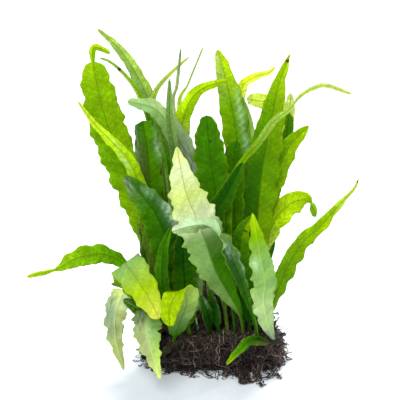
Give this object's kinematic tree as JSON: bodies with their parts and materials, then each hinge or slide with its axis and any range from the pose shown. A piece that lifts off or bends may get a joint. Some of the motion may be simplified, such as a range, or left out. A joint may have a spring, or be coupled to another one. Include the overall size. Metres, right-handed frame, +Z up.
{
  "type": "java fern with root mat",
  "caption": "Clump of java fern with waved, lance-shaped fronds on creeping rhizomes, half sunk in a flat mat of wiry roots, without a pot.",
  "frame": {"origin": "near the middle of the root mat's flat underside", "axes": "+Z up from the surface the mat rests on, -Y towards the front of the clump, +X to its right"},
  "size_m": [0.2227, 0.1655, 0.2254],
  "materials": {
    "root": "matt, wiry and tangled",
    "rhizome": "matt, scaly",
    "leaf_yellow_green": "satin, faintly translucent",
    "leaf_fresh_green": "satin, faintly translucent",
    "leaf_deep_green": "glossy, faintly translucent",
    "leaf_silver_green": "satin, pale underside"
  },
  "bodies": {
    "root": {"root_mat": "root", "rhizome_front": "rhizome", "rhizome_middle": "rhizome", "rhizome_inner": "rhizome", "rhizome_back": "rhizome", "frond_front_01": "leaf_yellow_green", "frond_front_02": "leaf_fresh_green", "frond_front_03": "leaf_deep_green", "frond_front_04": "leaf_deep_green", "frond_front_05": "leaf_deep_green", "frond_front_06": "leaf_deep_green", "frond_front_07": "leaf_deep_green", "frond_front_08": "leaf_deep_green", "frond_front_09": "leaf_silver_green", "frond_front_10": "leaf_fresh_green", "frond_front_11": "leaf_deep_green", "frond_front_12": "leaf_yellow_green", "frond_front_13": "leaf_silver_green", "frond_left_01": "leaf_deep_green", "frond_left_02": "leaf_deep_green", "frond_middle_01": "leaf_silver_green", "frond_middle_02": "leaf_silver_green", "frond_middle_03": "leaf_yellow_green", "frond_middle_04": "leaf_fresh_green", "frond_middle_05": "leaf_yellow_green", "frond_middle_06": "leaf_fresh_green", "frond_middle_07": "leaf_deep_green", "frond_middle_08": "leaf_fresh_green", "frond_middle_09": "leaf_silver_green", "frond_middle_10": "leaf_deep_green", "frond_middle_11": "leaf_deep_green", "frond_middle_12": "leaf_fresh_green", "frond_middle_13": "leaf_deep_green", "frond_middle_14": "leaf_deep_green", "frond_middle_15": "leaf_yellow_green", "frond_middle_16": "leaf_fresh_green", "frond_middle_17": "leaf_yellow_green", "frond_inner_01": "leaf_fresh_green", "frond_inner_02": "leaf_yellow_green", "frond_inner_03": "leaf_fresh_green", "frond_inner_04": "leaf_fresh_green", "frond_inner_05": "leaf_deep_green", "frond_inner_06": "leaf_deep_green", "frond_inner_07": "leaf_deep_green", "frond_inner_08": "leaf_yellow_green", "frond_inner_09": "leaf_fresh_green", "frond_inner_10": "leaf_fresh_green", "frond_inner_11": "leaf_silver_green", "frond_inner_12": "leaf_yellow_green", "frond_inner_13": "leaf_yellow_green", "frond_back_01": "leaf_fresh_green", "frond_back_02": "leaf_deep_green", "frond_back_03": "leaf_fresh_green", "frond_back_04": "leaf_deep_green", "frond_back_05": "leaf_yellow_green", "frond_back_06": "leaf_deep_green", "frond_back_07": "leaf_fresh_green", "frond_back_08": "leaf_fresh_green", "frond_back_09": "leaf_deep_green"}
  },
  "joints": []
}
